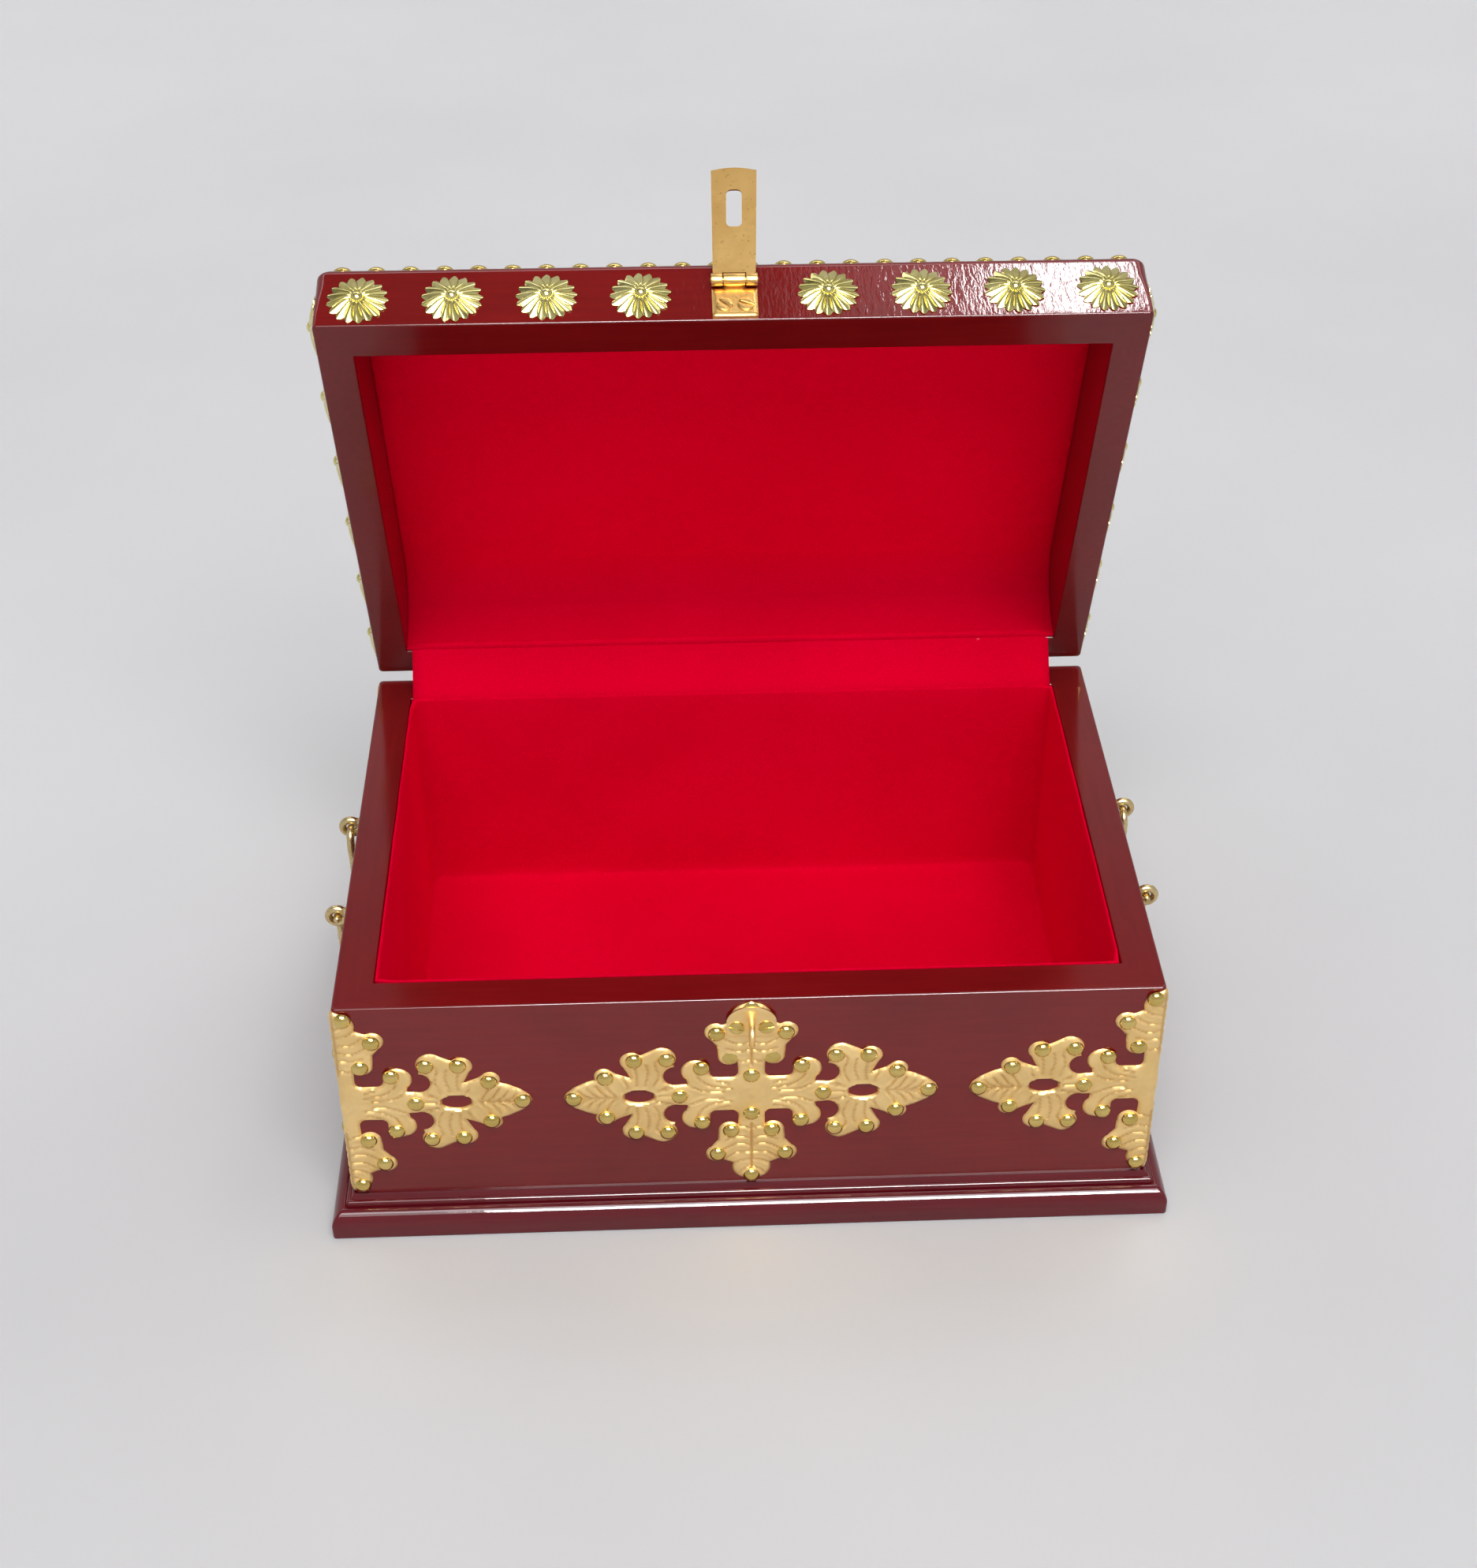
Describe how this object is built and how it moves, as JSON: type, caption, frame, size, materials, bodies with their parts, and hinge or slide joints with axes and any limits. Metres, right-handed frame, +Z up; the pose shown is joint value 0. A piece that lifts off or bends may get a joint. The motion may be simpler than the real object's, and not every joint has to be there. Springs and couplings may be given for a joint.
{
  "type": "lidded casket",
  "caption": "Hinged lacquered wooden casket with a moulded plinth, sloped lid, brass mounts, hasp, drop handles and red velvet lining, lid standing open.",
  "frame": {"origin": "middle of the underside of the case's bottom board, where the casket stands", "axes": "+Z up, +Y from the hasp side to the hinge side, +X to the right as seen from the hasp side"},
  "size_m": [0.3248, 0.2592, 0.3459],
  "materials": {
    "lacquered_wood": "dark red-brown wood under brushed gloss lacquer",
    "red_velvet": "short-pile saturated red velvet",
    "polished_brass": "polished pressed brass",
    "stamped_brass": "matt gold stamped brass sheet",
    "golden_steel": "satin orange-gold plated steel"
  },
  "bodies": {
    "case": {"bottom_board": "lacquered_wood", "corner_back_left": "stamped_brass", "corner_back_right": "stamped_brass", "corner_front_left": "stamped_brass", "corner_front_right": "stamped_brass", "cross_front": "stamped_brass", "handle_left_post_back": "polished_brass", "handle_left_post_front": "polished_brass", "handle_right_post_back": "polished_brass", "handle_right_post_front": "polished_brass", "hasp_staple": "golden_steel", "hinge_flap": "red_velvet", "hinge_left_case_leaf": "golden_steel", "hinge_left_pin": "golden_steel", "hinge_right_case_leaf": "golden_steel", "hinge_right_pin": "golden_steel", "lining_floor": "red_velvet", "lining_walls": "red_velvet", "plinth_back": "lacquered_wood", "plinth_front": "lacquered_wood", "plinth_left": "lacquered_wood", "plinth_right": "lacquered_wood", "wall_back": "lacquered_wood", "wall_front": "lacquered_wood", "wall_left": "lacquered_wood", "wall_right": "lacquered_wood"},
    "lid": {"boss_front_1": "polished_brass", "boss_front_2": "polished_brass", "boss_front_3": "polished_brass", "boss_front_4": "polished_brass", "boss_front_5": "polished_brass", "boss_front_6": "polished_brass", "boss_front_7": "polished_brass", "boss_front_8": "polished_brass", "boss_left_1": "polished_brass", "boss_left_2": "polished_brass", "boss_left_3": "polished_brass", "boss_left_4": "polished_brass", "boss_left_5": "polished_brass", "boss_left_6": "polished_brass", "boss_right_1": "polished_brass", "boss_right_2": "polished_brass", "boss_right_3": "polished_brass", "boss_right_4": "polished_brass", "boss_right_5": "polished_brass", "boss_right_6": "polished_brass", "hasp_leaf": "golden_steel", "hasp_pin": "golden_steel", "hinge_left_lid_leaf": "golden_steel", "hinge_right_lid_leaf": "golden_steel", "lid_lining": "red_velvet", "lid_rail_back": "lacquered_wood", "lid_rail_front": "lacquered_wood", "lid_rail_left": "lacquered_wood", "lid_rail_right": "lacquered_wood", "lid_top_board": "lacquered_wood"},
    "hasp_strap": {"hasp_strap": "golden_steel"},
    "bail_left": {"bail_left": "polished_brass"},
    "bail_right": {"bail_right": "polished_brass"}
  },
  "joints": [
    {"name": "lid_hinge", "type": "hinge", "parent": "case", "child": "lid", "pos_m": [0, 0.1099, 0.1092], "axis": [-1, 0, 0], "range_deg": [-69, 31], "deforming": ["hinge_flap"]},
    {"name": "hasp_hinge", "type": "hinge", "parent": "lid", "child": "hasp_strap", "pos_m": [0, 0.04741, 0.32054], "axis": [-1, 0, 0], "range_deg": [-168, 10]},
    {"name": "bail_left_hinge", "type": "hinge", "parent": "case", "child": "bail_left", "pos_m": [-0.1579, -0.0085, 0.096], "axis": [0, 1, 0], "range_deg": [-4, 110]},
    {"name": "bail_right_hinge", "type": "hinge", "parent": "case", "child": "bail_right", "pos_m": [0.1579, -0.0085, 0.096], "axis": [0, -1, 0], "range_deg": [-4, 110]}
  ]
}
